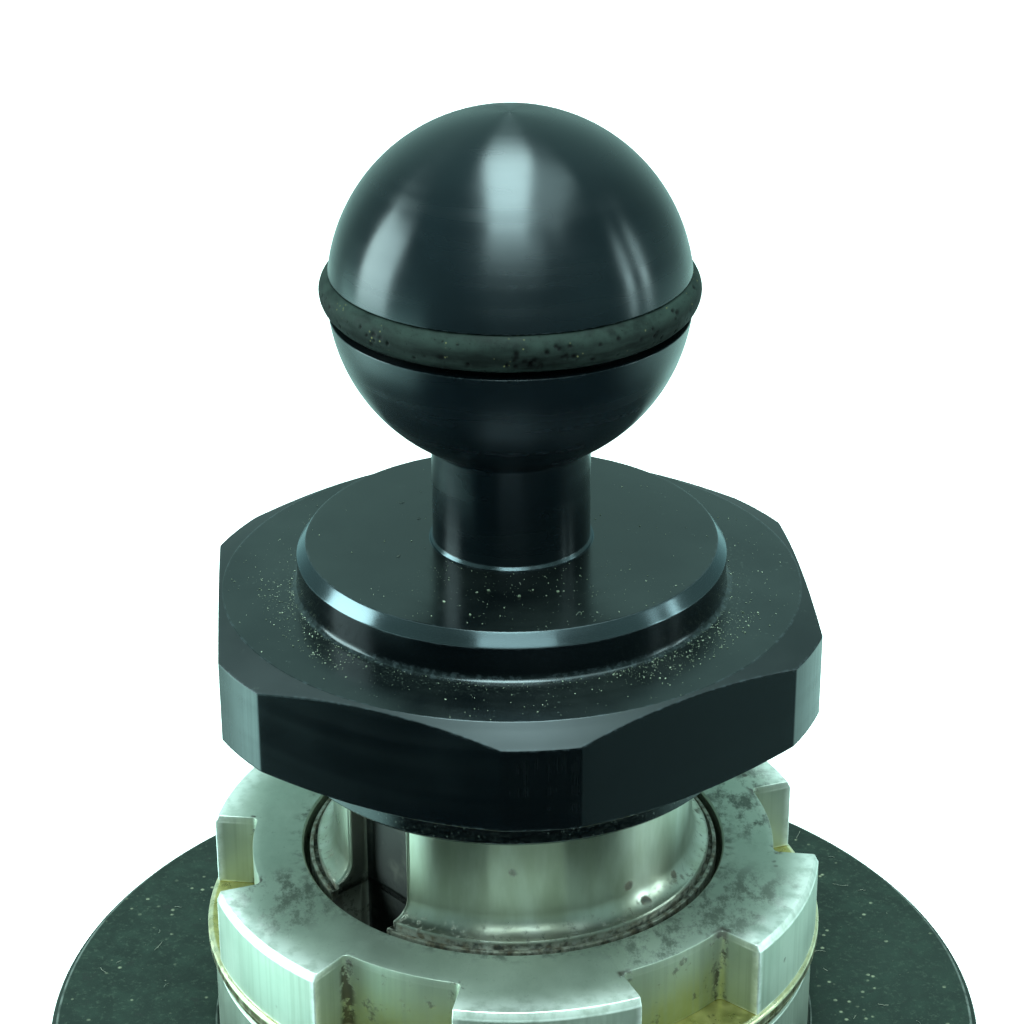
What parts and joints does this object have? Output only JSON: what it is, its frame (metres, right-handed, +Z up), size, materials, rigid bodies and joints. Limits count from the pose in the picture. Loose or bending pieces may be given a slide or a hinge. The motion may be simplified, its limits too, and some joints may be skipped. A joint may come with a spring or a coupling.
{
  "type": "ball mount",
  "caption": "Ball mount: a rubber-ringed ball on a hexagonal cap and a polished keyed spindle, held by a slotted lock ring and turning in bearings on a round base disc.",
  "frame": {"origin": "centre of the face that the base stands on", "axes": "+Z up along the spindle towards the ball, -Y the front, +X to the right seen from the front"},
  "size_m": [0.072, 0.072, 0.085],
  "materials": {
    "black_anodised": "black anodised, satin, lathe-turned",
    "polished_steel": "polished, with grime at the foot",
    "satin_aluminium": "satin machined",
    "yellow_zinc": "yellow zinc plated steel",
    "rubber": "matt black, worn",
    "bright_steel": "bright zinc plated",
    "bearing_steel": "ground bearing steel",
    "cage_brass": "machined brass",
    "matt_black_disc": "matt dark finish, dusty"
  },
  "bodies": {
    "base": {"base_disc": "matt_black_disc", "bearing_housing": "satin_aluminium", "bottom_cover": "matt_black_disc", "cover_screws": "bright_steel", "base_gasket": "rubber", "dust_ring": "yellow_zinc", "dust_seal": "rubber", "upper_outer_race": "bearing_steel", "lower_outer_race": "bearing_steel", "outer_race_spacer": "bright_steel"},
    "turning_head": {"ball_stud": "black_anodised", "ball_o_ring": "rubber", "stud_washer": "bright_steel", "stud_nut": "bright_steel", "hex_cap": "black_anodised", "spindle": "polished_steel", "lock_ring": "satin_aluminium", "tab_washer": "yellow_zinc", "thrust_spacer": "bright_steel", "upper_inner_race": "bearing_steel", "lower_inner_race": "bearing_steel", "inner_race_spacer": "bright_steel"},
    "upper_ball_set": {"upper_bearing_cage": "cage_brass", "upper_bearing_balls": "bearing_steel"},
    "lower_ball_set": {"lower_bearing_cage": "cage_brass", "lower_bearing_balls": "bearing_steel"}
  },
  "joints": [
    {"name": "head_turn", "type": "hinge", "parent": "base", "child": "turning_head", "pos_m": [0, 0, 0.0197], "axis": [0, 0, 1], "continuous": true},
    {"name": "upper_balls_turn", "type": "hinge", "parent": "base", "child": "upper_ball_set", "pos_m": [0, 0, 0.0162], "axis": [0, 0, 1], "continuous": true},
    {"name": "lower_balls_turn", "type": "hinge", "parent": "base", "child": "lower_ball_set", "pos_m": [0, 0, 0.0087], "axis": [0, 0, 1], "continuous": true}
  ],
  "couplings": [
    {"joint": "upper_balls_turn", "follows": "head_turn", "ratio": 0.45641},
    {"joint": "lower_balls_turn", "follows": "head_turn", "ratio": 0.45641}
  ]
}
